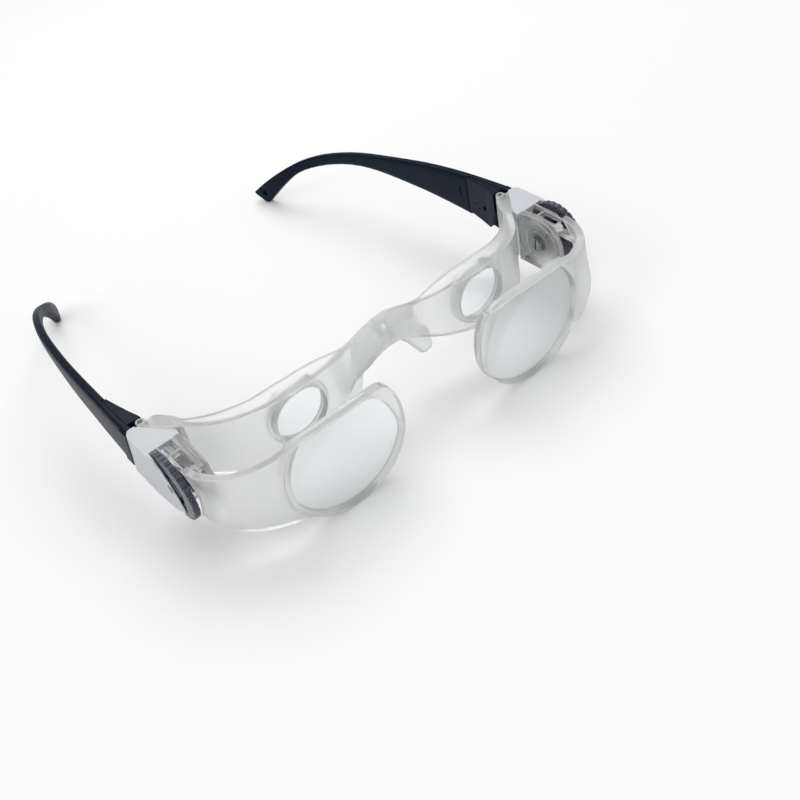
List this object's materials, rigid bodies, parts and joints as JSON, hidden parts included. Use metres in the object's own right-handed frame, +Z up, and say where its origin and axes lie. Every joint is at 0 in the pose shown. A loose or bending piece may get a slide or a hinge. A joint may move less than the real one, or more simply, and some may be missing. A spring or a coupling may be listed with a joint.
{
  "type": "binocular spectacles",
  "caption": "Spectacle-mounted Galilean binocular glasses: frosted frame, wheel-driven sliding objective carriers, small eye lenses and folding dark temples.",
  "frame": {"origin": "centre of the bounding box in plan, on the plane on which the lens rims and the temple tips stand", "axes": "+X to the wearer's left, +Y from the objective lenses back to the temple tips, +Z up; the optical axes are tipped about 5.9 degrees down at the front"},
  "size_m": [0.1422, 0.1781, 0.0322],
  "materials": {
    "frosted_plastic": "frosted translucent",
    "grey_plastic": "frosted, cool grey",
    "clear_plastic": "clear moulded",
    "clear_pad": "clear, soft gloss",
    "lens_plastic": "polished optical plastic",
    "smoked_plastic": "smoked translucent",
    "screw_steel": "bright steel",
    "pin_steel": "blackened steel",
    "black_rubber": "matt",
    "dark_plastic": "satin blue-black"
  },
  "bodies": {
    "frame": {"rear_frame": "frosted_plastic", "nose_pad": "clear_pad", "ocular_lens_left": "lens_plastic", "ocular_lens_right": "lens_plastic", "side_housing_left": "grey_plastic", "side_housing_right": "grey_plastic", "housing_cover_left": "clear_plastic", "housing_cover_right": "clear_plastic", "cover_screws_left": "screw_steel", "cover_screws_right": "screw_steel", "wheel_axle_left": "screw_steel", "wheel_axle_right": "screw_steel", "friction_ring_left": "black_rubber", "friction_ring_right": "black_rubber"},
    "carrier_left": {"front_carrier_left": "frosted_plastic", "objective_lens_left": "lens_plastic"},
    "wheel_left": {"focus_wheel_left": "smoked_plastic"},
    "temple_left": {"temple_arm_left": "dark_plastic", "hinge_insert_left": "dark_plastic", "hinge_pin_left": "pin_steel", "hinge_screws_left": "pin_steel"},
    "carrier_right": {"front_carrier_right": "frosted_plastic", "objective_lens_right": "lens_plastic"},
    "wheel_right": {"focus_wheel_right": "smoked_plastic"},
    "temple_right": {"temple_arm_right": "dark_plastic", "hinge_insert_right": "dark_plastic", "hinge_pin_right": "pin_steel", "hinge_screws_right": "pin_steel"}
  },
  "joints": [
    {"name": "focus_slide_left", "type": "slide", "parent": "frame", "child": "carrier_left", "axis": [0, -0.9945, -0.1043], "range_m": [0, 0.0045]},
    {"name": "wheel_spin_left", "type": "hinge", "parent": "frame", "child": "wheel_left", "pos_m": [0.0685, -0.06138, 0.01984], "axis": [1, 0, 0], "range_deg": [-1, 73]},
    {"name": "temple_hinge_left", "type": "hinge", "parent": "frame", "child": "temple_left", "pos_m": [0.0655, -0.04145, 0.02354], "axis": [0, -0.1043, 0.9945], "range_deg": [0, 90]},
    {"name": "focus_slide_right", "type": "slide", "parent": "frame", "child": "carrier_right", "axis": [0, -0.9945, -0.1043], "range_m": [0, 0.0045]},
    {"name": "wheel_spin_right", "type": "hinge", "parent": "frame", "child": "wheel_right", "pos_m": [-0.0685, -0.06138, 0.01984], "axis": [1, 0, 0], "range_deg": [-1, 73]},
    {"name": "temple_hinge_right", "type": "hinge", "parent": "frame", "child": "temple_right", "pos_m": [-0.0655, -0.04145, 0.02354], "axis": [0, 0.1043, -0.9945], "range_deg": [0, 78]}
  ],
  "couplings": [
    {"joint": "wheel_spin_left", "follows": "focus_slide_left", "rad_per_m": 277.78},
    {"joint": "wheel_spin_right", "follows": "focus_slide_right", "rad_per_m": 277.78}
  ]
}
